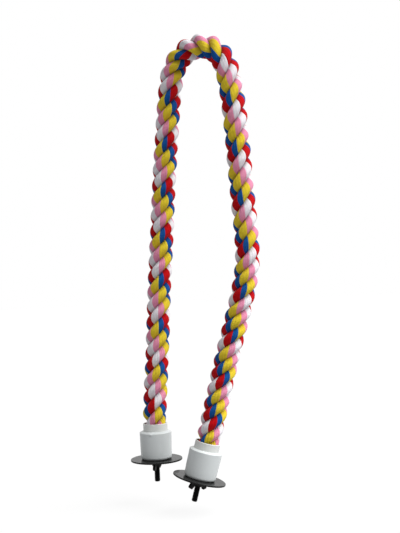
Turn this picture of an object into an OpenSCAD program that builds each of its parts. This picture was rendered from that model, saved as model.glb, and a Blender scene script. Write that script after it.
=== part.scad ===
// Bird perch: a three-strand cotton rope over a steel wire, bent into a tall loop, with a
// glued pipe sleeve, a slip cap, a carriage bolt, a washer and a wing nut at each end.
// The origin is the middle of the left cap's clamping face, with the left bolt along -Z.

/* [Loop] */
// Height of the rope's centre at the crown, over the left clamping face
loop_h = 447; // [330:1:620]
// Furthest that the front leg's centre stands to the right of the left bolt
loop_w = 108; // [96:1:140]
// How far the front leg stands before the back one
loop_d = 47; // [40:1:80]
// Radius of the crown, along the rope's centre
crown_r = 35.5; // [31:0.5:42]

/* [Right end] */
// How far the right clamping face stands to the right of the left one
end_span = 47; // [38:0.5:70]
// How far the right clamping face hangs below the left one
end_drop = 13.5; // [4:0.5:30]
// Lean of the right end, in degrees
end_lean = 15.5; // [8:0.5:22]

/* [Rope] */
// Diameter over the three strands
rope_d = 26.4; // [24:0.1:28]
// Thickness of one strand, measured out from the rope's centre
strand_t = 11.2; // [9.5:0.1:11.4]
// Width of one strand, measured across its run
strand_w = 9.9; // [9:0.1:10]
// Length of one full turn of the strands, halfway up the legs
rope_lay = 51; // [50:0.1:54]
// Turn of the first strand at the rope's foot, in degrees
lay_turn = 143; // [0:1:359]
// Length over which the rope narrows into its sleeve
squeeze_len = 9; // [7:0.5:14]
// Diameter of the steel wire that holds the rope's bend
wire_d = 2.8; // [2:0.1:3]

/* [Pipe sleeve] */
// Outer diameter of the pipe
pipe_d = 26.7; // [25.5:0.1:28]
// Wall of the pipe
pipe_wall = 1.7; // [1.5:0.1:3.1]
// Length of the pipe, from the cap's floor to its mouth
pipe_len = 32.5; // [30:0.5:45]
// Chamfer at the pipe's mouth
pipe_chamfer = 0.5; // [0.2:0.1:1]

/* [End cap] */
// Outer diameter at the shoulder
cap_d = 35.2; // [32:0.1:40]
// Outer diameter above the rounded foot
cap_foot_d = 34; // [31:0.1:35]
// Height from the clamping face to the mouth
cap_h = 31; // [24:0.5:34]
// Thickness of the floor
cap_floor = 6.5; // [5.5:0.1:8]
// Height of the sloping shoulder
cap_slope = 1.7; // [0.8:0.1:2.5]
// Radius of the rounded foot
cap_round = 2.8; // [1:0.1:4]

/* [Carriage bolt] */
// Diameter over the thread
bolt_d = 6.35; // [5:0.05:6.6]
// Length under the head
bolt_len = 31.8; // [28:0.1:45]
// Diameter of the domed head
head_d = 14.6; // [11:0.1:16]
// Height of the domed head
head_h = 3.6; // [2.5:0.1:4.5]
// Height of the square neck
neck_h = 3.6; // [2.5:0.1:4.5]
// Chamfer at the tip
tip_chamfer = 0.8; // [0.4:0.1:1.2]

/* [Glue] */
// Depth of the glue over the cap's floor
glue_h = 9.5; // [8:0.1:12]
// Glue left between the bolt's head and the wire
glue_cover = 1.4; // [0.8:0.1:2]

/* [Washer] */
// Outer diameter
washer_d = 57; // [40:0.5:60]
// Thickness
washer_t = 1.6; // [1:0.1:3]
// Diameter of the hole
washer_hole_d = 7.1; // [6.9:0.1:9]
// Broken edge at the rims
washer_edge = 0.3; // [0.1:0.05:0.4]

/* [Wing nut] */
// Diameter of the hub at its bearing face
hub_d = 12.8; // [11.5:0.1:14]
// Diameter of the hub at its top
hub_top_d = 10; // [9:0.1:11.4]
// Height of the hub
hub_h = 6.8; // [6:0.1:9]
// Span over both wings
wing_span = 24.4; // [22:0.1:34]
// Height of the wings over the bearing face
wing_h = 10.7; // [10:0.1:16]
// Width of a wing at its blunt end
wing_w = 5.3; // [4:0.1:6]
// Lean of the wings out from the bolt, in degrees
wing_lean = 25; // [15:1:35]
// Thickness of a wing
wing_t = 2.7; // [2:0.1:3.5]
// Radius of the corners at a wing's end
wing_round = 1.4; // [0.8:0.1:1.8]
// Turn of the left nut as it stands, in degrees
left_nut_turn = 76; // [0:1:180]
// Turn of the right nut as it stands, in degrees
right_nut_turn = 42; // [0:1:180]

/* [Hidden] */
$fn = 96;

// Clearances
seat_gap = 0.05;
glue_gap = 0.05;
socket_gap = 0.1;
rope_gap = 0.15;
hole_gap = 0.12;
thread_gap = 0.05;
overrun = 1;

// Heights along an end's own axis, over its clamping face
neck_top = cap_floor + pipe_len;
head_top = cap_floor + head_h;
glue_top = cap_floor + glue_h;
wire_foot = head_top + glue_cover;
strand_foot = glue_top + glue_gap;

// Radii of the rope's parts
pipe_r = pipe_d / 2;
bore_r = pipe_r - pipe_wall;
rope_r = rope_d / 2;
helix_r = rope_r - strand_t / 2;
squeeze_share = (bore_r - rope_gap) / rope_r;

// Places on the two legs as shares of the loop: across, to the front and up
left_leg_shares = [
    [0.035, 0, 0.21], [0.07, 0, 0.32], [0.1, 0, 0.43], [0.145, 0, 0.54],
    [0.18, 0, 0.65], [0.22, 0, 0.75], [0.26, 0.01, 0.84]
];
right_leg_shares = [
    [0.925, 1, 0.835], [0.945, 1, 0.74], [0.965, 1, 0.64], [0.99, 1, 0.55],
    [1, 1, 0.475], [0.935, 1, 0.4], [0.835, 1, 0.32], [0.73, 1, 0.235]
];
// Distance between the guide points of an end, as a share of its wire's run to the mouth
guide_share = 0.8;
// Angle between the guide points of the crown
crown_step = 36;
// How tightly the rope is twisted at shares of its length: most beside the right end, and
// least over the crown, where the bend opens it
lay_shares = [
    [0, 1.045], [0.14, 1.018], [0.33, 0.997], [0.5, 0.953],
    [0.67, 0.968], [0.86, 1.062], [1, 1.14]
];
// Steps along the centre line between two guide points
guide_steps = 16;

// Sides and rings of the swept parts
strand_sides = 8;
rings_per_lay = 11;
wire_sides = 8;
wire_ring_gap = 2.5 * wire_d;

// Distance of a wing's elbow from its end, as a share of the wing's width
elbow_share = 0.7;

function unit(v) = v / norm(v);
function on_leg(share) = [loop_w * share[0], -loop_d * share[1], loop_h * share[2]];
function on_left_end(h) = [0, 0, h];
function on_right_end(h) = [
    end_span + h * sin(end_lean),
    -loop_d,
    h * cos(end_lean) - end_drop
];

// Guide points: up the left end and leg, over the crown, and down the right leg and end
guide_gap = guide_share * (neck_top - wire_foot);
left_top = on_leg(left_leg_shares[len(left_leg_shares) - 1]);
right_top = on_leg(right_leg_shares[0]);
crown_way = unit([right_top.x - left_top.x, right_top.y - left_top.y, 0]);
crown_middle = [
    (left_top.x + right_top.x) / 2,
    (left_top.y + right_top.y) / 2,
    loop_h - crown_r
];
// A smooth run through guide points on a circle falls inside it, by this share
guide_r = crown_r * 3 / (2 + cos(crown_step));
guides = concat(
    [for (k = [-1 : 2]) on_left_end(wire_foot + guide_gap * k)],
    [for (share = left_leg_shares) on_leg(share)],
    [for (turn = [180 : -crown_step : 0])
        crown_middle + guide_r * (cos(turn) * crown_way + [0, 0, sin(turn)])],
    [for (share = right_leg_shares) on_leg(share)],
    [for (k = [2 : -1 : -1]) on_right_end(wire_foot + guide_gap * k)]
);

// The rope's centre line, a cubic B-spline of the guide points
function spline(a, b, c, d, t) = (
    a * pow(1 - t, 3)
    + b * (3 * pow(t, 3) - 6 * pow(t, 2) + 4)
    + c * (3 * (t + pow(t, 2) - pow(t, 3)) + 1)
    + d * pow(t, 3)
) / 6;
centre = concat(
    [for (i = [0 : len(guides) - 4], j = [0 : guide_steps - 1])
        spline(guides[i], guides[i + 1], guides[i + 2], guides[i + 3], j / guide_steps)],
    [on_right_end(wire_foot)]
);
last = len(centre) - 1;
spans = [for (i = [0 : last - 1]) norm(centre[i + 1] - centre[i])];
run = [for (i = 0, s = 0; i <= last; s = s + (i < last ? spans[i] : 0), i = i + 1) s];
rope_len = run[last];

// Directions along the centre line, and a sideways direction carried along without twist
ways = [for (i = [0 : last]) unit(centre[min(i + 1, last)] - centre[max(i - 1, 0)])];
function squared(v, way) = unit(v - (v * way) * way);
sides = [
    for (i = 0, v = [1, 0, 0]; i <= last; i = i + 1, v = i > last ? v : squared(v, ways[i])) v
];
place_of = [for (i = [0 : last]) [run[i], i]];
function mix(list, i, t) = list[i] * (1 - t) + list[i + 1] * t;

// The point at x and y off the centre line, s along it
function bend(x, y, s) =
    let (
        at = lookup(s, place_of),
        i = min(floor(at), last - 1),
        t = at - i,
        way = unit(mix(ways, i, t)),
        side = squared(mix(sides, i, t), way)
    )
    mix(centre, i, t) + x * side + y * cross(way, side);

// How much of its free size the rope keeps at s, from the sleeves to the free rope
function ease(t) = let (u = max(0, min(1, t))) u * u * (3 - 2 * u);
function from_end(s) = min(s, rope_len - s);
function girth(s) =
    squeeze_share
    + (1 - squeeze_share) * ease((from_end(s) - neck_top + wire_foot) / squeeze_len);

// The strands' turn at s: the tightness at each place, summed from the foot to s
function tightness(s) = lookup(s / rope_len, lay_shares);
function sum_to(share, i) =
    i > len(lay_shares) - 2 || share < lay_shares[i][0] ? 0
    : let (from = lay_shares[i], to = min(share, lay_shares[i + 1][0]))
        (to - from[0]) * (from[1] + lookup(to, lay_shares)) / 2 + sum_to(share, i + 1);
function twist(s) = lay_turn + 360 * rope_len / rope_lay * sum_to(s / rope_len, 0);
// The slope of the strands' run against the rope's
function slope(s) = 2 * PI * helix_r * tightness(s) / rope_lay;

// A strand's outline where the rope is cut square at s
function strand_ring(s, start) = [
    for (k = [0 : strand_sides - 1])
    let (
        edge = 360 * k / strand_sides,
        rise = slope(s),
        lean = sqrt(1 + rise * rise),
        out = helix_r + strand_t / 2 * cos(edge),
        over = strand_w / 2 * sin(edge),
        turn = start + twist(s + over * rise / lean),
        x = out * cos(turn) - over / lean * sin(turn),
        y = out * sin(turn) + over / lean * cos(turn)
    )
    bend(x * girth(s), y * girth(s), s)
];
function wire_ring(s) = [
    for (k = [0 : wire_sides - 1])
    let (edge = 360 * k / wire_sides)
    bend(wire_d / 2 * cos(edge), wire_d / 2 * sin(edge), s)
];

// A closed tube through rings of equal counts
module tube(rings) {
    sides = len(rings[0]);
    top = sides * (len(rings) - 1);
    points = [for (ring = rings, point = ring) point];
    walls = [
        for (i = [0 : len(rings) - 2], j = [0 : sides - 1])
        let (
            near = i * sides,
            far = near + sides,
            next = (j + 1) % sides
        )
        each [
            [near + j, far + j, near + next],
            [near + next, far + j, far + next]
        ]
    ];
    foot = [for (j = [1 : sides - 2]) [0, j, j + 1]];
    head = [for (j = [1 : sides - 2]) [top, top + j + 1, top + j]];
    polyhedron(points, concat(walls, foot, head), convexity = 10);
}

module strand(start) {
    first = strand_foot - wire_foot;
    length = rope_len - 2 * first;
    count = round(length / rope_lay * rings_per_lay);
    tube([for (i = [0 : count]) strand_ring(first + length * i / count, start)]);
}

module core_wire() {
    color("lightgray") {
        count = round(rope_len / wire_ring_gap);
        tube([for (i = [0 : count]) wire_ring(rope_len * i / count)]);
    }
}

// The pieces of one end, each about the end's own axis, with the clamping face at zero

module sleeve() {
    color("white")
    translate([0, 0, cap_floor])
    rotate_extrude()
    polygon([
        [bore_r, 0],
        [pipe_r, 0],
        [pipe_r, pipe_len - pipe_chamfer],
        [pipe_r - pipe_chamfer, pipe_len],
        [bore_r + pipe_chamfer, pipe_len],
        [bore_r, pipe_len - pipe_chamfer]
    ]);
}

module cap() {
    socket_r = pipe_r + socket_gap;
    foot_r = cap_foot_d / 2;
    square_side = bolt_d + 2 * hole_gap;
    color("whitesmoke")
    difference() {
        rotate_extrude()
        union() {
            polygon([
                [0, 0],
                [foot_r - cap_round, 0],
                [foot_r - cap_round, cap_round],
                [foot_r, cap_round],
                [cap_d / 2, cap_h - cap_slope],
                [socket_r, cap_h],
                [0, cap_h]
            ]);
            intersection() {
                translate([foot_r - cap_round, cap_round]) circle(cap_round);
                square([foot_r, cap_round]);
            }
        }
        translate([0, 0, cap_floor]) cylinder(h = cap_h, r = socket_r);
        translate([0, 0, -overrun])
            cylinder(h = cap_floor + 2 * overrun, d = bolt_d + 2 * hole_gap);
        translate([-square_side / 2, -square_side / 2, cap_floor - neck_h - hole_gap])
            cube([square_side, square_side, neck_h + overrun]);
    }
}

// The domed head, grown on all sides by a gap
module bolt_head(gap = 0) {
    head_r = head_d / 2 + gap;
    rise = head_h + gap;
    dome_r = (head_r * head_r + rise * rise) / (2 * rise);
    rotate_extrude()
    intersection() {
        translate([0, rise - dome_r]) circle(dome_r);
        square([head_r, rise]);
    }
}

module bolt() {
    tip = cap_floor - bolt_len;
    color("#2a2c2f")
    union() {
        translate([0, 0, cap_floor]) bolt_head();
        translate([-bolt_d / 2, -bolt_d / 2, cap_floor - neck_h])
            cube([bolt_d, bolt_d, neck_h]);
        translate([0, 0, tip])
        rotate_extrude()
        polygon([
            [0, 0],
            [bolt_d / 2 - tip_chamfer, 0],
            [bolt_d / 2, tip_chamfer],
            [bolt_d / 2, bolt_len - neck_h / 2],
            [0, bolt_len - neck_h / 2]
        ]);
    }
}

module glue() {
    color("#d8cfae")
    difference() {
        translate([0, 0, cap_floor]) cylinder(h = glue_h, r = bore_r - glue_gap);
        translate([0, 0, cap_floor]) bolt_head(glue_gap);
        translate([0, 0, wire_foot - glue_gap])
            cylinder(h = glue_h, d = wire_d + 2 * glue_gap);
    }
}

module washer() {
    rim_r = washer_d / 2;
    hole_r = washer_hole_d / 2;
    color("#26272a")
    translate([0, 0, -seat_gap - washer_t])
    rotate_extrude()
    polygon([
        [hole_r, 0],
        [rim_r - washer_edge, 0],
        [rim_r, washer_edge],
        [rim_r, washer_t - washer_edge],
        [rim_r - washer_edge, washer_t],
        [hole_r, washer_t]
    ]);
}

// One wing in its own plane: out of the hub's wall, up past an elbow, to the blunt end
module wing_outline() {
    root = (bolt_d / 2 + hub_top_d / 2) / 2;
    out = [cos(wing_lean), -sin(wing_lean)];
    up = [sin(wing_lean), cos(wing_lean)];
    between = (wing_w - 2 * wing_round) * out;
    high = [wing_span / 2 - wing_round - between.x, wing_h - wing_round];
    low = high + between;
    translate(high) circle(wing_round);
    translate(low) circle(wing_round);
    polygon([
        [root, hub_h / 8],
        [hub_d / 2, hub_h / 4],
        low + wing_round * out - elbow_share * wing_w * up,
        low + wing_round * out,
        low + wing_round * up,
        high + wing_round * up,
        high - wing_round * out,
        [hub_top_d / 2, hub_h],
        [root, hub_h]
    ]);
}

module wing_nut(turn) {
    color("#1f2022")
    translate([0, 0, -2 * seat_gap - washer_t])
    rotate([180, 0, turn])
    difference() {
        union() {
            cylinder(h = hub_h, d1 = hub_d, d2 = hub_top_d);
            for (side = [0, 180])
                rotate([90, 0, side])
                linear_extrude(wing_t, center = true)
                wing_outline();
        }
        translate([0, 0, -overrun])
            cylinder(h = wing_h + 2 * overrun, d = bolt_d + 2 * thread_gap);
    }
}

module on_right() {
    translate([end_span, -loop_d, -end_drop]) rotate([0, end_lean, 0]) children();
}

module strand_a() {
    color("gold") strand(0);
}

module strand_b() {
    color("royalblue") strand(120);
}

module strand_c() {
    color("crimson") strand(240);
}

module left_sleeve() {
    sleeve();
}

module left_cap() {
    cap();
}

module left_bolt() {
    bolt();
}

module left_glue() {
    glue();
}

module left_washer() {
    washer();
}

module left_wing_nut() {
    wing_nut(left_nut_turn);
}

module right_sleeve() {
    on_right() sleeve();
}

module right_cap() {
    on_right() cap();
}

module right_bolt() {
    on_right() bolt();
}

module right_glue() {
    on_right() glue();
}

module right_washer() {
    on_right() washer();
}

module right_wing_nut() {
    on_right() wing_nut(right_nut_turn);
}

strand_a();
strand_b();
strand_c();
core_wire();
left_sleeve();
left_cap();
left_bolt();
left_glue();
left_washer();
left_wing_nut();
right_sleeve();
right_cap();
right_bolt();
right_glue();
right_washer();
right_wing_nut();
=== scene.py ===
import math

import bpy
import numpy as np
from mathutils import Matrix, Vector


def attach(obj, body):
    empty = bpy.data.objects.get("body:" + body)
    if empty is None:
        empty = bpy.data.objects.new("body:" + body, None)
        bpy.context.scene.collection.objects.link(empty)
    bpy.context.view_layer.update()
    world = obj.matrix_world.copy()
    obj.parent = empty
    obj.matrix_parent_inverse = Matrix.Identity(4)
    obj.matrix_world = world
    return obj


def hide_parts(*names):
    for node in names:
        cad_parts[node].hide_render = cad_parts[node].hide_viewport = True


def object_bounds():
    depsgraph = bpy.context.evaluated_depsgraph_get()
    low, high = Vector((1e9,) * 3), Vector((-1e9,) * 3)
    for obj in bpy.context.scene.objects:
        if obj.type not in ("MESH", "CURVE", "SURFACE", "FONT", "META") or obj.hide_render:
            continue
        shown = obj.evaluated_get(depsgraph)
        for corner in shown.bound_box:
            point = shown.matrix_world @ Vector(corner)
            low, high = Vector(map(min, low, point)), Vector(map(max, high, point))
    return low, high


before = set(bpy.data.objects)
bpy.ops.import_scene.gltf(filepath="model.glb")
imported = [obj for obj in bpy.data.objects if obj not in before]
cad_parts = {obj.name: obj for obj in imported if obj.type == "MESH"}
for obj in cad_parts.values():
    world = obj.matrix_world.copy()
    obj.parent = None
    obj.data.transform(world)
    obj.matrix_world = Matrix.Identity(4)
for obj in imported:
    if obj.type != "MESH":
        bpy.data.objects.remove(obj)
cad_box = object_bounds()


# Camera: a level view along +Y from just over a metre away, held with a slight roll.
# The long side of the 400 by 533 frame is the sensor's width.
camera_place = (0.0566, -1.080, 0.2095)
camera_roll = 2.37
focal_pixels = 978
frame_pixels = 533
sensor_width = 36


def put_in_scene(thing):
    bpy.context.scene.collection.objects.link(thing)
    return thing


lens = bpy.data.cameras.new("camera")
lens.sensor_width = sensor_width
lens.lens = focal_pixels / frame_pixels * sensor_width
lens.clip_end = 100
camera = put_in_scene(bpy.data.objects.new("camera", lens))
camera.location = camera_place
camera.rotation_euler = (math.radians(90), math.radians(camera_roll), 0)
bpy.context.scene.camera = camera
bpy.context.scene.view_settings.view_transform = "Standard"


# Studio: even light from all sides and one wide soft light high on the right. The world
# and the floor show white to the camera and to shiny surfaces, and the floor keeps a
# faint shadow.
floor_drop = 0.013
floor_half = 6
floor_paint = (165, 165, 167)
floor_shows_shadow = 0.08
world_light = 0.32
key_from = Vector((0.59, -0.25, 0.77))
key_strength = 3.85
key_width = math.radians(50)


def paint(red, green, blue):
    """A colour as a paint chart gives it, 0 to 255, made linear."""
    shares = [
        part / 12.92 if part <= 0.04045 else ((part + 0.055) / 1.055) ** 2.4
        for part in (red / 255, green / 255, blue / 255)
    ]
    return (*shares, 1)


def add_node(tree, kind, inputs=(), **settings):
    """Adds a shader node, sets it up, and links its inputs or gives them values."""
    node = tree.nodes.new("ShaderNode" + kind)
    for key, value in settings.items():
        setattr(node, key, value)
    for key, value in dict(inputs).items():
        if isinstance(value, bpy.types.NodeSocket):
            tree.links.new(value, node.inputs[key])
        else:
            node.inputs[key].default_value = value
    return node


def calc(tree, operation, *values):
    """The result of a Math node on values or sockets."""
    return add_node(tree, "Math", enumerate(values), operation=operation).outputs[0]


def scaled(tree, vector, factor):
    """A vector or colour times a factor."""
    inputs = {0: vector, "Scale": factor}
    return add_node(tree, "VectorMath", inputs, operation="SCALE").outputs[0]


def seen_directly(tree):
    """1 for rays from the camera and for those off or through a shiny surface."""
    ray = add_node(tree, "LightPath").outputs
    shiny = calc(tree, "MAXIMUM", ray["Is Glossy Ray"], ray["Is Transmission Ray"])
    return calc(tree, "MAXIMUM", ray["Is Camera Ray"], shiny)


light = bpy.data.lights.new("key_light", "SUN")
light.energy = key_strength
light.angle = key_width
lamp = put_in_scene(bpy.data.objects.new("key_light", light))
lamp.location = key_from
lamp.rotation_euler = key_from.to_track_quat("Z", "Y").to_euler()

world = bpy.data.worlds.new("studio")
world.use_nodes = True
world.node_tree.nodes.clear()
tree = world.node_tree
soft = add_node(tree, "Background", {"Color": (1, 1, 1, 1), "Strength": world_light})
white = add_node(tree, "Background", {"Color": (1, 1, 1, 1), "Strength": 1})
world_mix = add_node(
    tree, "MixShader", {0: seen_directly(tree), 1: soft.outputs[0], 2: white.outputs[0]}
)
add_node(tree, "OutputWorld", {"Surface": world_mix.outputs[0]})
bpy.context.scene.world = world

floor_finish = bpy.data.materials.new("white_floor")
floor_finish.use_nodes = True
tree = floor_finish.node_tree
tree.nodes.clear()
grain = add_node(tree, "TexNoise", {"Scale": 30, "Detail": 4})
tone = add_node(tree, "MapRange", {"Value": grain.outputs[0], "To Min": 0.96, "To Max": 1})
seen_white = add_node(tree, "Mix", {"Factor": seen_directly(tree)}, data_type="RGBA")
seen_white.inputs[6].default_value = paint(*floor_paint)
seen_white.inputs[7].default_value = (1, 1, 1, 1)
tinted = scaled(tree, seen_white.outputs[2], tone.outputs[0])
matt = add_node(tree, "BsdfDiffuse", {"Color": tinted})
glow = add_node(tree, "Emission", {"Color": (1, 1, 1, 1), "Strength": 1})
glow_share = calc(tree, "MULTIPLY", seen_directly(tree), 1 - floor_shows_shadow)
floor_mix = add_node(
    tree, "MixShader", {0: glow_share, 1: matt.outputs[0], 2: glow.outputs[0]}
)
add_node(tree, "OutputMaterial", {"Surface": floor_mix.outputs[0]})

floor_z = cad_box[0][2] - floor_drop
floor_mesh = bpy.data.meshes.new("floor")
corners = ((-1, -1), (1, -1), (1, 1), (-1, 1))
floor_mesh.from_pydata(
    [(x * floor_half, y * floor_half, floor_z) for x, y in corners], [], [(0, 1, 2, 3)]
)
floor_mesh.materials.append(floor_finish)
put_in_scene(bpy.data.objects.new("floor", floor_mesh))


# Core wire: one length of drawn steel wire through the middle of the rope, so that the
# perch keeps the bend it is given. Its ends stand in the glue inside the two caps.
def new_material(name, **sockets):
    """A material with one Principled shader. Names of its sockets have _ for spaces."""
    finish = bpy.data.materials.new(name)
    finish.use_nodes = True
    shader = finish.node_tree.nodes["Principled BSDF"]
    for key, value in sockets.items():
        shader.inputs[key.replace("_", " ")].default_value = value
    return finish, finish.node_tree, shader.inputs


def link(tree, output, socket):
    tree.links.new(output, socket)


def new_group(name, takes, gives):
    """A node group with its named sockets, and its inner input and output nodes."""
    group = bpy.data.node_groups.new(name, "ShaderNodeTree")
    for in_out, sockets in (("INPUT", takes), ("OUTPUT", gives)):
        for socket, (kind, value) in sockets.items():
            made = group.interface.new_socket(
                socket, in_out=in_out, socket_type="NodeSocket" + kind
            )
            if value is not None:
                made.default_value = value
    return group, group.nodes.new("NodeGroupInput"), group.nodes.new("NodeGroupOutput")


def place_group(tree, group, inputs):
    """Puts a node group in a tree and gives back its outputs."""
    return add_node(tree, "Group", inputs, node_tree=group).outputs


# Handled surface: fine unevenness of colour and gloss, with a height for bump, and broad
# unevenness whose frequency is a share of the fine one's.
broad_share = 0.07
uneven, taken, given = new_group(
    "uneven_surface",
    {"Color": ("Color", (0.8, 0.8, 0.8, 1)), "Grain Size": ("Float", 0.001),
     "Color Change": ("Float", 0.1), "Roughness": ("Float", 0.5),
     "Roughness Change": ("Float", 0.1), "Stretch": ("Vector", (1, 1, 1))},
    {"Color": ("Color", None), "Roughness": ("Float", None), "Height": ("Float", None)},
)
takes = taken.outputs
place = add_node(uneven, "TexCoord").outputs["Object"]
stretched = add_node(
    uneven, "VectorMath", {0: place, 1: takes["Stretch"]}, operation="MULTIPLY"
)
frequency = calc(uneven, "DIVIDE", 1.0, takes["Grain Size"])
fine = add_node(
    uneven, "TexNoise", {"Vector": stretched.outputs[0], "Scale": frequency, "Detail": 5}
).outputs[0]
broad_scale = calc(uneven, "MULTIPLY", frequency, broad_share)
broad = add_node(
    uneven, "TexNoise", {"Vector": place, "Scale": broad_scale, "Detail": 3}
).outputs[0]
swing = calc(uneven, "SUBTRACT", calc(uneven, "ADD", fine, broad), 1.0)
factor = calc(uneven, "MULTIPLY_ADD", swing, takes["Color Change"], 1.0)
gloss = calc(uneven, "MULTIPLY_ADD", swing, takes["Roughness Change"], takes["Roughness"])
link(uneven, scaled(uneven, takes["Color"], factor), given.inputs["Color"])
link(uneven, gloss, given.inputs["Roughness"])
link(uneven, fine, given.inputs["Height"])


def add_bump(tree, height, shader, depth):
    """Turns a height from 0 to 1 into bumps that many metres deep."""
    bump = add_node(tree, "Bump", {"Height": height, "Distance": depth})
    link(tree, bump.outputs[0], shader["Normal"])


def uneven_finish(name, look, bump_depth, **sockets):
    """A material whose colour, gloss and bumps are those of a handled surface."""
    finish, tree, shader = new_material(name, **sockets)
    surface = place_group(tree, uneven, look)
    link(tree, surface["Color"], shader["Base Color"])
    link(tree, surface["Roughness"], shader["Roughness"])
    add_bump(tree, surface["Height"], shader, bump_depth)
    return finish


wire_look = {
    "Color": paint(168, 166, 162), "Grain Size": 0.0006, "Color Change": 0.25,
    "Roughness": 0.32, "Roughness Change": 0.2, "Stretch": (1, 1, 0.1),
}
wire_finish = uneven_finish("drawn_steel", wire_look, bump_depth=0.00002, Metallic=1.0)


def finish_node(node, finish):
    """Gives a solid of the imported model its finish."""
    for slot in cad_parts[node].material_slots:
        slot.material = finish


finish_node("core_wire", wire_finish)


# Rope: three right-hand laid strands of soft cotton yarn over the wire. Each strand holds
# fifteen thick yarns round it, three each of red, white, pink, yellow and blue.
# the loop's height, width and depth, its crown, and where the right end stands
loop_h, loop_w, loop_d, crown_r = 447, 108, 47, 35.5
end_span, end_drop, end_lean = 47, 13.5, math.radians(15.5)
# the rope over its strands, and a strand's size out from the middle and round it
rope_d, strand_t, strand_w = 26.4, 11.2, 9.9
rope_lay, lay_turn = 51, 143 / 360
# how tightly the strands are laid at shares of the rope's length: least over the crown
lay_shares = np.array([0, 0.14, 0.33, 0.5, 0.67, 0.86, 1])
lay_tightness = np.array([1.045, 1.018, 0.997, 0.953, 0.968, 1.062, 1.14])
# the sleeves squeeze the rope to this share, and it swells again over this length
squeeze_len, squeeze_share = 9, 0.871
wire_foot, strand_foot, neck_top = 11.5, 16.05, 39
helix_r = rope_d / 2 - strand_t / 2
# guide points of the legs, as shares of the loop's width, depth and height
left_leg_shares = [
    (0.035, 0, 0.21), (0.07, 0, 0.32), (0.1, 0, 0.43), (0.145, 0, 0.54),
    (0.18, 0, 0.65), (0.22, 0, 0.75), (0.26, 0.01, 0.84),
]
right_leg_shares = [
    (0.925, 1, 0.835), (0.945, 1, 0.74), (0.965, 1, 0.64), (0.99, 1, 0.55),
    (1, 1, 0.475), (0.935, 1, 0.4), (0.835, 1, 0.32), (0.73, 1, 0.235),
]
guide_gap_share = 0.8
guide_gap = guide_gap_share * (neck_top - wire_foot)
crown_step = 36
route_steps = 48
ring_gap = 0.75
# the grooves between yarns, which are deeper where the yarns come apart at the mouths
yarns_per_color, steps_per_yarn = 3, 6
yarn_groove, mouth_groove, yarn_roundness = 0.42, 0.9, 0.94
mouth_apart_len, mouth_closing_len = 22, 14
# slow swelling of the strands along the rope
thickness_waves, thickness_swing, thickness_seed = (31, 47, 83), 0.02, 11
flank_swell, flank_from = 0.2, 0.5
# where the painted shade in the partings between strands starts and how fast it grows
parting_gain, parting_start = 1.6, 0.35
map_per_mm = 2.3
# the strands' ends are cut square to the rope over this length
square_end_len = 12
# how often the yarns turn round their strand while the strands turn once
turns_per_lay = 2
# the yarns lie wide on the rope's outside and crowd together inside it
outer_spread, side_spread = 0.87, 0.045
# the shares of a turn at which the strands start, and each strand's first yarn
strand_starts = {"strand_a": 0, "strand_b": 1 / 3, "strand_c": 2 / 3}
first_yarns = {"strand_a": 0.102, "strand_b": -0.074, "strand_c": 0.342}
# how many more turns the yarns have made by each place along the rope, in millimetres
slip_places = (
    0, 30, 60, 100, 150, 220, 300, 370, 410,
    440, 470, 500, 530, 620, 700, 780, 870, 936,
)
slip_turns = (
    -0.34, -0.26, -0.19, -0.08, 0, 0.04, 0.09, 0.14, 0.11,
    0.19, 0.30, 0.19, 0.31, 0.34, 0.40, 0.48, 0.61, 0.70,
)
# name: colour from a paint chart, share of the way round a strand
yarns = {
    "red": ((200, 6, 16), 0.214),
    "white": ((247, 243, 248), 0.215),
    "pink": ((244, 154, 186), 0.176),
    "yellow": ((240, 212, 54), 0.241),
    "blue": ((16, 87, 163), 0.154),
}
MM = 0.001


def unit(v):
    return v / np.linalg.norm(v, axis=-1, keepdims=True)


def ease(t):
    """From 0 to 1, with a soft start and end."""
    t = np.clip(t, 0, 1)
    return t * t * (3 - 2 * t)


def on_leg(shares):
    """A place from its shares of the loop's width, depth and height."""
    return np.array([loop_w * shares[0], -loop_d * shares[1], loop_h * shares[2]])


def on_right_end(h):
    """The place h up the right end's axis from its cap's face."""
    return np.array(
        [end_span + h * math.sin(end_lean), -loop_d, h * math.cos(end_lean) - end_drop]
    )


def rope_guides():
    """Guide points up the left leg, over the crown and down the right leg."""
    left_top, right_top = on_leg(left_leg_shares[-1]), on_leg(right_leg_shares[0])
    across = unit((right_top - left_top) * (1, 1, 0))
    middle = (left_top + right_top) / 2
    middle[2] = loop_h - crown_r
    # the route passes inside its guides, so they lie this much further out than crown_r
    reach = crown_r * 3 / (2 + math.cos(math.radians(crown_step)))
    crown = [
        middle + reach * (math.cos(turn) * across + np.array([0, 0, math.sin(turn)]))
        for turn in np.radians(np.arange(180, -1, -crown_step))
    ]
    left_end = [np.array([0, 0, wire_foot + guide_gap * k]) for k in range(-1, 3)]
    right_end = [on_right_end(wire_foot + guide_gap * k) for k in range(2, -2, -1)]
    legs = [[on_leg(s) for s in shares] for shares in (left_leg_shares, right_leg_shares)]
    return np.array(left_end + legs[0] + crown + legs[1] + right_end)


def rope_route():
    """The rope's centre line, how far along each point is, and its two cross directions."""
    guides = rope_guides()
    # each stretch of this even cubic curve follows four guides
    t = (np.arange(route_steps) / route_steps)[None, :, None]
    a, b, c, d = (guides[k:len(guides) - 3 + k, None] for k in range(4))
    line = (
        a * (1 - t) ** 3 + b * (3 * t**3 - 6 * t**2 + 4)
        + c * (3 * (t + t**2 - t**3) + 1) + d * t**3
    ).reshape(-1, 3) / 6
    line = np.vstack([line, on_right_end(wire_foot)])
    along = np.concatenate([[0], np.cumsum(np.linalg.norm(np.diff(line, axis=0), axis=1))])
    ways = unit(np.vstack([line[1] - line[0], line[2:] - line[:-2], line[-1] - line[-2]]))
    sides = [np.array([1.0, 0, 0])]
    for way in ways:
        sides.append(unit(sides[-1] - sides[-1].dot(way) * way))
    return line, along, ways, np.array(sides[1:])


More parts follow.
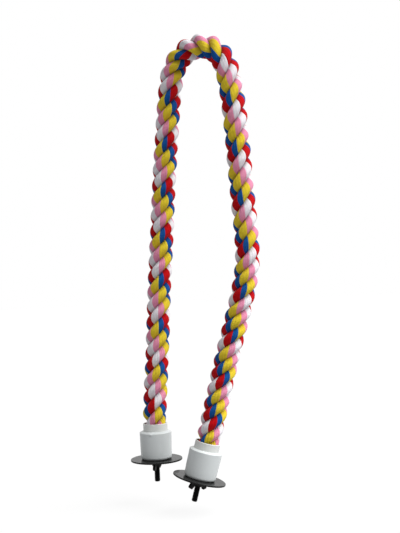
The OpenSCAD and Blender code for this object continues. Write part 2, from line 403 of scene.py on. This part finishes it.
route_line, route_along, route_ways, route_sides = rope_route()
rope_len = route_along[-1]


def bent(x, y, s):
    """Points x and y off the centre line and s along it, on the bent rope."""
    at = np.interp(s, route_along, np.arange(len(route_along)))
    i = np.minimum(at.astype(int), len(route_along) - 2)
    t = (at - i)[..., None]

    def between(rows):
        return rows[i] * (1 - t) + rows[i + 1] * t

    way = unit(between(route_ways))
    side = between(route_sides)
    side = unit(side - (side * way).sum(-1, keepdims=True) * way)
    return between(route_line) + x[..., None] * side + y[..., None] * np.cross(way, side)


mean_tightness = (lay_tightness[1:] + lay_tightness[:-1]) / 2
laid_so_far = np.append(0, np.cumsum(np.diff(lay_shares) * mean_tightness))


def tightness(s):
    """How tight the lay is s along the rope, as a share of the lay of rope_lay."""
    return np.interp(s / rope_len, lay_shares, lay_tightness)


def rope_turns(s):
    """How many turns the strands have made s along the rope."""
    share = s / rope_len
    i = np.clip(np.searchsorted(lay_shares, share, "right") - 1, 0, len(lay_shares) - 2)
    step = (share - lay_shares[i]) * (lay_tightness[i] + tightness(s)) / 2
    return lay_turn + rope_len / rope_lay * (laid_so_far[i] + step)


def rope_slope(s):
    """How far a strand's middle goes round the rope for each step along it."""
    return 2 * math.pi * helix_r * tightness(s) / rope_lay


def girth(s):
    """The share of its free thickness that the rope keeps, less inside the sleeves."""
    from_end = np.minimum(s, rope_len - s)
    grown = ease((from_end - neck_top + wire_foot) / squeeze_len)
    return squeeze_share + (1 - squeeze_share) * grown


def waves(s, lengths, size, seed):
    """A smooth uneven run along the rope, made of a few waves with random phases."""
    phases = np.random.default_rng(seed).uniform(0, 1, len(lengths))
    return size * sum(
        np.sin(2 * math.pi * (s / length + phase)) for length, phase in zip(lengths, phases)
    ) / len(lengths)


def yarn_profile(across):
    """Height of the yarns' rounded backs, 1 on a back and least in a groove."""
    return np.sqrt(1 - (yarn_roundness * (2 * (across % 1) - 1)) ** 2)


def bundle_rings(strand, start, width):
    """Rings round one colour's yarns in a strand, each with the strand's middle last."""
    first = strand_foot - wire_foot
    count = round((rope_len - 2 * first) / ring_gap)
    v = np.linspace(first, rope_len - first, count + 1)[:, None]
    across = np.linspace(0, yarns_per_color, yarns_per_color * steps_per_yarn + 1)[None]
    rise = rope_slope(v)
    lean = np.sqrt(1 + rise * rise)
    turns = rope_turns(v)
    slip = np.interp(v, slip_places, slip_turns)
    share = start + width * across / yarns_per_color
    place = share - turns_per_lay * (strand_starts[strand] + turns)
    place = place - first_yarns[strand] - slip
    edge = 2 * math.pi * place
    edge = edge + outer_spread * np.sin(edge) + side_spread * np.sin(2 * edge)
    from_end = np.minimum(v - first, rope_len - first - v)
    apart = 1 - ease((from_end - mouth_apart_len) / mouth_closing_len)
    groove = yarn_groove + (mouth_groove - yarn_groove) * apart
    lift = 1 - groove * 2 / strand_t * (1 - yarn_profile(across))
    lift = lift * (1 + waves(v, thickness_waves, thickness_swing, thickness_seed))
    out = np.concatenate([helix_r + strand_t / 2 * lift * np.cos(edge), 0 * v + helix_r], 1)
    # the soft flanks press against the next strands and close the parting between them
    pressed = 1 + flank_swell * ease(flank_from - np.cos(edge))
    over = np.concatenate([strand_w / 2 * lift * pressed * np.sin(edge), 0 * v], 1)
    tilt = over * rise / lean
    s = v - tilt * ease(from_end / square_end_len)
    turn = 2 * math.pi * (strand_starts[strand] + rope_turns(s + tilt))
    x = out * np.cos(turn) - over / lean * np.sin(turn)
    y = out * np.sin(turn) + over / lean * np.cos(turn)
    # how deep in the parting between two strands each point lies, from 0 to 1, which sets
    # how much painted shade darkens the yarns' colour there
    deep = ease((1 - np.cos(edge)) / 2 * parting_gain - parting_start)
    deep = np.concatenate([deep, 0 * v + 1], 1)
    return bent(x * girth(s), y * girth(s), s) * MM, v[:, 0], deep


def tube_faces(count, sides, first=0):
    """Faces through rings of points that are numbered from first, with flat ends."""
    at = first + np.arange(count * sides).reshape(count, sides)
    beside = np.roll(at, -1, axis=1)
    walls = np.stack([at[:-1], beside[:-1], beside[1:], at[1:]], -1).reshape(-1, 4)
    return walls.tolist() + [at[0, ::-1].tolist(), at[-1].tolist()]


def mesh_of_rings(name, rings):
    """A closed mesh through rings of equal counts of points."""
    mesh = bpy.data.meshes.new(name)
    mesh.from_pydata(rings.reshape(-1, 3).tolist(), [], tube_faces(*rings.shape[:2]))
    mesh.shade_smooth()
    return mesh


def add_piece(mesh, finish, body, slot, *nodes):
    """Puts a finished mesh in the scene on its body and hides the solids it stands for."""
    mesh.materials.append(finish)
    piece = put_in_scene(bpy.data.objects.new(mesh.name, mesh))
    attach(piece, body)
    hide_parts(*nodes)
    return piece


def add_bundle(strand, color, start, width, finish):
    """Adds one colour's yarns of one strand, all the way along the rope."""
    rings, v, deep = bundle_rings(strand, start, width)
    mesh = mesh_of_rings(f"{strand}_{color}", rings)
    sides = rings.shape[1]
    # the two edges beside the next colours stay sharp, as the yarns part there
    ends = np.empty(len(mesh.edges) * 2, int)
    mesh.edges.foreach_get("vertices", ends)
    columns = ends.reshape(-1, 2) % sides
    parting = (columns[:, 0] == columns[:, 1]) & np.isin(columns[:, 0], (0, sides - 2))
    sharp = mesh.attributes.new("sharp_edge", "BOOLEAN", "EDGE")
    sharp.data.foreach_set("value", parting)
    # the yarns' own map: yarns across, and map_per_mm to each millimetre along
    corners = np.empty(len(mesh.loops), int)
    mesh.loops.foreach_get("vertex_index", corners)
    across = np.append(np.linspace(0, yarns_per_color, sides - 1), yarns_per_color / 2)
    yarn_map = mesh.uv_layers.new(name="yarns")
    flat = np.stack([
        across[corners % sides] + start * yarns_per_color * len(yarns),
        v[corners // sides] * map_per_mm,
    ], 1)
    yarn_map.data.foreach_set("uv", flat.astype(np.float32).ravel())
    # the mask of painted shade in the partings, read by the yarn's material
    depth = mesh.attributes.new("depth", "FLOAT", "POINT")
    depth.data.foreach_set("value", deep.astype(np.float32).ravel())
    add_piece(mesh, finish, "root", "cotton_yarn", strand)


# Yarn surface: plies that wind round each yarn, with fine fibres along them that stand
# out by a share of a ply's height.
fibre_height_share = 0.5
plies, taken, given = new_group(
    "yarn_surface",
    {"Color": ("Color", (0.8, 0.8, 0.8, 1)), "Ply Pitch": ("Float", 1.6),
     "Fading": ("Float", 0.15)},
    {"Color": ("Color", None), "Height": ("Float", None)},
)
takes = taken.outputs
on_yarn = add_node(plies, "UVMap", uv_map="yarns").outputs[0]
parts = add_node(plies, "SeparateXYZ", {0: on_yarn}).outputs
wound = calc(plies, "ADD", calc(plies, "DIVIDE", parts["Y"], takes["Ply Pitch"]), parts["X"])
wave = calc(plies, "SINE", calc(plies, "MULTIPLY", wound, math.pi))
back = calc(plies, "ABSOLUTE", wave)
fibre_place = add_node(plies, "CombineXYZ", {0: wound, 1: parts["X"]}).outputs[0]
fibres = add_node(
    plies, "TexNoise", {"Vector": fibre_place, "Scale": 9, "Detail": 4}
).outputs[0]
blotch = add_node(
    plies, "TexNoise", {"Vector": on_yarn, "Scale": 0.12, "Detail": 3}
).outputs[0]
# painted shade: the colour darkens to 0.8 of itself in the grooves between plies
ply_groove_shade = add_node(plies, "MapRange", {"Value": back, "To Min": 0.80, "To Max": 1.0})
spread = calc(plies, "SUBTRACT", calc(plies, "ADD", fibres, blotch), 1.0)
faded = calc(plies, "MULTIPLY_ADD", spread, takes["Fading"], 1.0)
# painted shade: deep in the partings between strands the colour darkens to half
in_parting = add_node(plies, "Attribute", attribute_name="depth").outputs["Fac"]
parting_shade = add_node(plies, "MapRange", {"Value": in_parting, "To Min": 1.0, "To Max": 0.5})
tone = calc(plies, "MULTIPLY", faded, ply_groove_shade.outputs[0])
tone = calc(plies, "MULTIPLY", tone, parting_shade.outputs[0])
link(plies, scaled(plies, takes["Color"], tone), given.inputs["Color"])
height = calc(plies, "MULTIPLY_ADD", fibres, fibre_height_share, back)
link(plies, height, given.inputs["Height"])

start = 0
for color, (chart, width) in yarns.items():
    yarn_finish, tree, shader = new_material(
        f"cotton_{color}", Roughness=0.9, Sheen_Weight=0.05, Sheen_Roughness=0.5,
        Specular_IOR_Level=0.12,
    )
    yarn = place_group(tree, plies, {"Color": paint(*chart)})
    link(tree, yarn["Color"], shader["Base Color"])
    add_bump(tree, yarn["Height"], shader, depth=0.00018)
    for strand in strand_starts:
        add_bundle(strand, color, start, width, yarn_finish)
    start += width


# Pipe sleeves: a length of white pipe, sawn and slightly rounded at the mouth, pushed
# over each end of the rope and glued down into the cap.
pipe_r, bore_r, pipe_len = 13.35, 11.65, 32.5
foot_round, mouth_round, bore_mouth_round = 0.4, 0.7, 0.6
cap_floor = 6.5
lathe_steps, arc_steps = 192, 6
turned_crease = math.radians(50)
# where each end of the perch stands
ends = {
    "left": Matrix.Identity(4),
    "right": Matrix.Translation(Vector((end_span, -loop_d, -end_drop)) * MM)
    @ Matrix.Rotation(end_lean, 4, "Y"),
}


def rounded(corners):
    """A closed outline of radii and heights, from corners that each have a rounding."""
    points = []
    spots = [np.array(corner[:2], float) for corner in corners]
    for i, (_, _, rounding) in enumerate(corners):
        here = spots[i]
        back = unit(spots[i - 1] - here)
        ahead = unit(spots[(i + 1) % len(spots)] - here)
        if rounding == 0:
            points.append(here)
            continue
        half = math.acos(max(-1, min(1, back @ ahead))) / 2
        middle = here + unit(back + ahead) * rounding / math.sin(half)
        trim = rounding / math.tan(half)
        start, stop = here + back * trim - middle, here + ahead * trim - middle
        first = math.atan2(start[1], start[0])
        sweep = math.atan2(stop[1], stop[0]) - first
        sweep = (sweep + math.pi) % (2 * math.pi) - math.pi
        for k in range(arc_steps + 1):
            turn = first + sweep * k / arc_steps
            points.append(middle + rounding * np.array([math.cos(turn), math.sin(turn)]))
    return np.array(points)


def lathe_angles():
    """The turn of each column of a lathed piece."""
    return np.arange(lathe_steps) / lathe_steps * 2 * math.pi


def lathe_grid(outline):
    """Radii and heights of an outline turned about Z, one column for each angle."""
    r = np.repeat(outline[:, :1], lathe_steps, 1)
    return r, np.repeat(outline[:, 1:], lathe_steps, 1)


def ring_faces(rows, columns):
    """Faces of a closed ring of points that are numbered row by row."""
    at = np.arange(rows * columns).reshape(rows, columns)
    beside = np.roll(at, -1, axis=1)
    faces = np.stack([at, beside, np.roll(beside, -1, axis=0), np.roll(at, -1, axis=0)], -1)
    return faces.reshape(-1, 4).tolist()


def turned(name, r, z, place):
    """A closed ring of radii and heights about Z, in millimetres, put at its end."""
    a = lathe_angles()
    points = np.stack([r * np.cos(a), r * np.sin(a), z], -1) * MM
    mesh = bpy.data.meshes.new(name)
    mesh.from_pydata(points.reshape(-1, 3).tolist(), [], ring_faces(*r.shape))
    mesh.transform(place)
    mesh.shade_smooth()
    mesh.set_sharp_from_angle(angle=turned_crease)
    return mesh


def weigh_normals(piece):
    """Keeps the flat faces beside small roundings looking flat."""
    piece.modifiers.new("flat_faces", "WEIGHTED_NORMAL").keep_sharp = True


pipe_look = {
    "Color": paint(221, 223, 220), "Grain Size": 0.0012, "Color Change": 0.10,
    "Roughness": 0.42, "Roughness Change": 0.12, "Stretch": (1, 1, 0.15),
}
pipe_finish = uneven_finish(
    "white_pipe", pipe_look, bump_depth=0.00004, Specular_IOR_Level=0.4
)
sleeve_outline = rounded([
    (bore_r, cap_floor, foot_round / 2), (pipe_r, cap_floor, foot_round),
    (pipe_r, cap_floor + pipe_len, mouth_round),
    (bore_r, cap_floor + pipe_len, bore_mouth_round),
])
for end, place in ends.items():
    sleeve_mesh = turned(f"{end}_pipe_sleeve", *lathe_grid(sleeve_outline), place)
    weigh_normals(add_piece(sleeve_mesh, pipe_finish, "root", "white_pipe", f"{end}_sleeve"))


# Slip caps: moulded white plastic with a sloping shoulder, a draft to the foot and a
# rounded foot. A square recess in the floor holds the bolt's neck against turning.
cap_r, cap_foot_r, cap_h, cap_slope, cap_round = 17.6, 17, 31, 1.7, 2.8
socket_gap, wall_margin = 0.1, 1
socket_r = pipe_r + socket_gap
outer_wall_r = socket_r + wall_margin
bolt_r, neck_h, neck_gap = 3.175, 3.6, 0.12
hole_half = bolt_r + neck_gap
recess_floor = cap_floor - neck_h - neck_gap
wall_row_gap = 0.5
touching = 0.01
drip_turn, drip_z, drip_proud = math.radians(-105), 28.5, 1.05
drip_wide, drip_high = 1.5, 1.3
# corners of the cap's outline: radius, height, rounding
cap_corners = [
    (hole_half, 0, 0.2), (cap_foot_r, 0, cap_round),
    (cap_r, cap_h - cap_slope, 0.55), (socket_r, cap_h, 0.3),
    (socket_r, cap_floor, 0.1), (hole_half, cap_floor, 0), (hole_half, recess_floor, 0),
]


def with_wall_rows(outline):
    """The same outline with closer points down the outer wall, which the drip needs."""
    rows = []
    for here, ahead in zip(outline, np.roll(outline, -1, axis=0)):
        on_wall = min(here[0], ahead[0]) > outer_wall_r
        count = math.ceil(np.linalg.norm(ahead - here) / wall_row_gap) if on_wall else 1
        rows += [here + (ahead - here) * k / count for k in range(count)]
    return np.array(rows)


def cap_grid(with_drip):
    """The cap's radii and heights, square in its recess, and with the drip if asked."""
    r, z = lathe_grid(with_wall_rows(rounded(cap_corners)))
    a = lathe_angles()
    recess = (r < hole_half + touching) & (z > recess_floor + touching)
    r = np.where(recess, hole_half / np.maximum(abs(np.cos(a)), abs(np.sin(a))), r)
    if with_drip:
        across = ((a - drip_turn + math.pi) % (2 * math.pi) - math.pi) * cap_r
        drop = np.exp(-((across / drip_wide) ** 2) - ((z - drip_z) / drip_high) ** 2)
        r = r + drip_proud * drop * (r > outer_wall_r)
    return r, z


cap_look = {
    "Color": paint(214, 219, 219), "Grain Size": 0.0009, "Color Change": 0.07,
    "Roughness": 0.36, "Roughness Change": 0.10, "Stretch": (1, 1, 1),
}
cap_finish = uneven_finish(
    "white_cap", cap_look, bump_depth=0.00003, Specular_IOR_Level=0.4
)
for end, place in ends.items():
    cap_mesh = turned(f"{end}_slip_cap", *cap_grid(end == "left"), place)
    weigh_normals(add_piece(cap_mesh, cap_finish, "root", "white_cap", f"{end}_cap"))


# Glue: set resin that fills the bottom of each sleeve, round the bolt's head and the
# wire's end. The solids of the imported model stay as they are.
glue_look = {
    "Color": paint(214, 204, 168), "Grain Size": 0.002, "Color Change": 0.2,
    "Roughness": 0.3, "Roughness Change": 0.2, "Stretch": (1, 1, 1),
}
glue_finish = uneven_finish("set_glue", glue_look, bump_depth=0.0003)
for end in ends:
    finish_node(f"{end}_glue", glue_finish)


# Carriage bolts: steel, blackened, with a domed head and a square neck inside the cap.
# The quarter inch thread is cut 20 to the inch, right-handed, up to the neck.
bolt_len, head_r, head_h = 31.8, 7.3, 3.6
rim_h, rim_chamfer = 0.5, 0.3
dome_shares = (0.95, 0.85, 0.7, 0.5, 0.3, 0.1)
thread_pitch, thread_depth = 1.27, 0.55
flank_gain, root_flat = 1.2, 0.08
tip_chamfer = 0.8
neck_rounding, neck_edge_h, head_gap = 0.03, 0.2, 0.02
bolt_sides = 48
rings_per_thread = 10
bolt_crease = math.radians(40)


def square_radius(half, rounding, a):
    """The radius of a square with softened corners at each angle."""
    power = 14
    blunt = (abs(np.cos(a)) ** power + abs(np.sin(a)) ** power) ** (-1 / power)
    return half * (1 - rounding) * blunt + half * rounding


def bolt_rings():
    """Rings from the bolt's tip up its thread and square neck and over its head."""
    a = np.arange(bolt_sides) / bolt_sides * 2 * math.pi
    tip = cap_floor - bolt_len
    neck = cap_floor - neck_h
    count = round((neck - tip) / thread_pitch * rings_per_thread)
    z = np.linspace(tip, neck, count + 1)[:, None]
    turn = (z / thread_pitch - a / (2 * math.pi)) % 1
    flank = np.clip(flank_gain * (1 - abs(2 * turn - 1)) - root_flat, 0, 1)
    cut = thread_depth * (1 - flank) * ease((neck - z) / thread_pitch)
    r = np.minimum(bolt_r - cut, bolt_r - tip_chamfer + (z - tip))
    square = square_radius(bolt_r, neck_rounding, a)
    head = [
        (head_r - rim_chamfer, cap_floor), (head_r, cap_floor + rim_h / 2),
        (head_r, cap_floor + rim_h),
    ]
    rise = head_h - rim_h
    dome = (head_r**2 + rise**2) / (2 * rise)
    for share in dome_shares:
        reach = head_r * share
        head.append((reach, cap_floor + head_h - dome + math.sqrt(dome**2 - reach**2)))
    rows = list(r) + [square, square, square]
    heights = list(z[:, 0]) + [neck, neck + neck_edge_h, cap_floor - head_gap]
    rows += [np.full(bolt_sides, radius) for radius, _ in head]
    heights += [height for _, height in head]
    return np.array([
        np.stack([row * np.cos(a), row * np.sin(a), np.full(bolt_sides, height)], -1)
        for row, height in zip(rows, heights)
    ])


# Worn edges: a paler colour in patches where a piece is rubbed on its edges.
worn, taken, given = new_group(
    "worn_edges",
    {"Color": ("Color", (0.02, 0.02, 0.02, 1)), "Worn Color": ("Color", (0.2, 0.2, 0.2, 1)),
     "Wear": ("Float", 0.5)},
    {"Color": ("Color", None)},
)
sharpness = add_node(worn, "NewGeometry").outputs["Pointiness"]
ridge = add_node(
    worn, "MapRange", {"Value": sharpness, "From Min": 0.52, "From Max": 0.60}
)
patches = add_node(worn, "TexNoise", {
    "Vector": add_node(worn, "TexCoord").outputs["Object"], "Scale": 420, "Detail": 4,
})
patch = add_node(
    worn, "MapRange", {"Value": patches.outputs[0], "From Min": 0.40, "From Max": 0.62}
)
rubbed = calc(worn, "MULTIPLY", ridge.outputs[0], patch.outputs[0])
worn_mix = add_node(worn, "Mix", data_type="RGBA")
link(worn, calc(worn, "MULTIPLY", rubbed, taken.outputs["Wear"]), worn_mix.inputs[0])
link(worn, taken.outputs["Color"], worn_mix.inputs[6])
link(worn, taken.outputs["Worn Color"], worn_mix.inputs[7])
link(worn, worn_mix.outputs[2], given.inputs["Color"])


def dark_metal(name, color, worn_color, roughness, wear, grain_size, bump_depth):
    """Blackened metal with grain in its gloss and rubbed edges."""
    finish, tree, shader = new_material(name, Specular_IOR_Level=0.1)
    look = place_group(tree, uneven, {
        "Color": paint(*color), "Grain Size": grain_size, "Color Change": 0.5,
        "Roughness": roughness, "Roughness Change": 0.3, "Stretch": (1, 1, 1),
    })
    edges = place_group(tree, worn, {
        "Color": look["Color"], "Worn Color": paint(*worn_color), "Wear": wear,
    })
    link(tree, edges["Color"], shader["Base Color"])
    link(tree, look["Roughness"], shader["Roughness"])
    add_bump(tree, look["Height"], shader, bump_depth)
    return finish


bolt_finish = dark_metal(
    "blackened_bolt", color=(11, 11, 10), worn_color=(58, 56, 54), roughness=0.38,
    wear=0.35, grain_size=0.0005, bump_depth=0.00003,
)
for end, place in ends.items():
    bolt_mesh = mesh_of_rings(f"{end}_carriage_bolt", bolt_rings() * MM)
    bolt_mesh.transform(place)
    bolt_mesh.set_sharp_from_angle(angle=bolt_crease)
    add_piece(bolt_mesh, bolt_finish, "root", "black_bolt", f"{end}_bolt")


# Washers: wide stamped steel washers, satin black, with the stamping's rolled upper edge
# and a small burr below. They clamp the cage's bars against the cap.
washer_r, washer_hole_r, washer_t, seat_gap = 28.5, 3.55, 1.6, 0.05
burr_round, rolled_round, hole_round = 0.12, 0.5, 0.3
washer_low = -seat_gap - washer_t
washer_finish = dark_metal(
    "black_washer", color=(26, 26, 26), worn_color=(66, 66, 65), roughness=0.18,
    wear=0.2, grain_size=0.0007, bump_depth=0.00001,
)
washer_outline = rounded([
    (washer_hole_r, washer_low, burr_round), (washer_r, washer_low, burr_round),
    (washer_r, -seat_gap, rolled_round), (washer_hole_r, -seat_gap, hole_round),
])
for end, place in ends.items():
    washer_mesh = turned(f"{end}_wide_washer", *lathe_grid(washer_outline), place)
    washer = add_piece(
        washer_mesh, washer_finish, f"{end}_washer_body", "black_washer", f"{end}_washer"
    )
    weigh_normals(washer)


# Wing nuts: cast in black, with a tapered hub and two leaning wings with blunt ends.
# The one on the left stands nearly edge-on to the front.
hub_r, hub_top_r, hub_h = 6.4, 5, 6.8
wing_half, wing_h, wing_t, wing_w = 12.2, 10.7, 2.7, 5.3
wing_lean, wing_round, elbow_share = math.radians(25), 1.4, 0.7
nut_turns = {"left": 76, "right": 42}
thread_gap = 0.05
nut_bore_r = bolt_r + thread_gap
nut_voxel, nut_softening, nut_soft_rounds = 0.22, 0.5, 6
hub_sides = 64
wing_arc_points = 7


def wing_outline():
    """One wing in its own plane, out of the hub's wall and up to the blunt end."""
    root = (bolt_r + hub_top_r) / 2
    out = np.array([math.cos(wing_lean), -math.sin(wing_lean)])
    up = np.array([math.sin(wing_lean), math.cos(wing_lean)])
    between = (wing_w - 2 * wing_round) * out
    high = np.array([wing_half - wing_round - between[0], wing_h - wing_round])
    low = high + between
    turns = np.radians(np.linspace(0, 90, wing_arc_points))
    low_arc = [low + wing_round * (out * math.cos(t) + up * math.sin(t)) for t in turns]
    high_arc = [high + wing_round * (up * math.cos(t) - out * math.sin(t)) for t in turns]
    elbow = low + wing_round * out - elbow_share * wing_w * up
    return np.array([
        [root, hub_h / 8], [hub_r, hub_h / 4], elbow, *low_arc, *high_arc,
        [hub_top_r, hub_h], [root, hub_h],
    ])


def wing_rings(side):
    """The outlines of one wing's two flat faces."""
    outline = wing_outline()
    rings = [
        np.stack([outline[:, 0] * side, np.full(len(outline), y * side), outline[:, 1]], -1)
        for y in (-wing_t / 2, wing_t / 2)
    ]
    return np.array(rings)[:, ::-1]


def hub_rings():
    """The corners of the hub's outline, turned round its bore."""
    a = np.arange(hub_sides) / hub_sides * 2 * math.pi
    outline = [(nut_bore_r, 0), (hub_r, 0), (hub_top_r, hub_h), (nut_bore_r, hub_h)]
    return np.array([
        np.stack([r * np.cos(a), r * np.sin(a), np.full(hub_sides, float(z))], -1)
        for r, z in outline
    ])


def wing_nut(name, place):
    """The hub and wings, run together and softened as a casting is."""
    hub = hub_rings()
    points = (hub.reshape(-1, 3) * MM).tolist()
    faces = ring_faces(*hub.shape[:2])
    for side in (1, -1):
        wing = wing_rings(side)
        faces += tube_faces(*wing.shape[:2], first=len(points))
        points += (wing.reshape(-1, 3) * MM).tolist()
    rough = bpy.data.meshes.new(name + "_rough")
    rough.from_pydata(points, [], faces)
    core = put_in_scene(bpy.data.objects.new(name + "_rough", rough))
    joined = core.modifiers.new("joined", "REMESH")
    joined.mode = "VOXEL"
    joined.voxel_size = nut_voxel * MM
    soft = core.modifiers.new("softened", "SMOOTH")
    soft.factor, soft.iterations = nut_softening, nut_soft_rounds
    cast = bpy.data.meshes.new_from_object(
        core.evaluated_get(bpy.context.evaluated_depsgraph_get())
    )
    bpy.data.objects.remove(core)
    cast.name = name
    cast.transform(place)
    cast.shade_smooth()
    return cast


nut_finish = dark_metal(
    "cast_black_nut", color=(11, 11, 11), worn_color=(58, 56, 54), roughness=0.5,
    wear=0.35, grain_size=0.0009, bump_depth=0.00008,
)
for end, place in ends.items():
    # the nut is drawn with its wings up, and hangs wings down against the washer
    seat = Matrix.Translation((0, 0, (washer_low - seat_gap) * MM))
    turn = Matrix.Rotation(math.radians(nut_turns[end]), 4, "Z")
    over = Matrix.Rotation(math.pi, 4, "X")
    nut_mesh = wing_nut(f"{end}_cast_wing_nut", place @ seat @ turn @ over)
    add_piece(nut_mesh, nut_finish, f"{end}_nut_body", "black_nut", f"{end}_wing_nut")
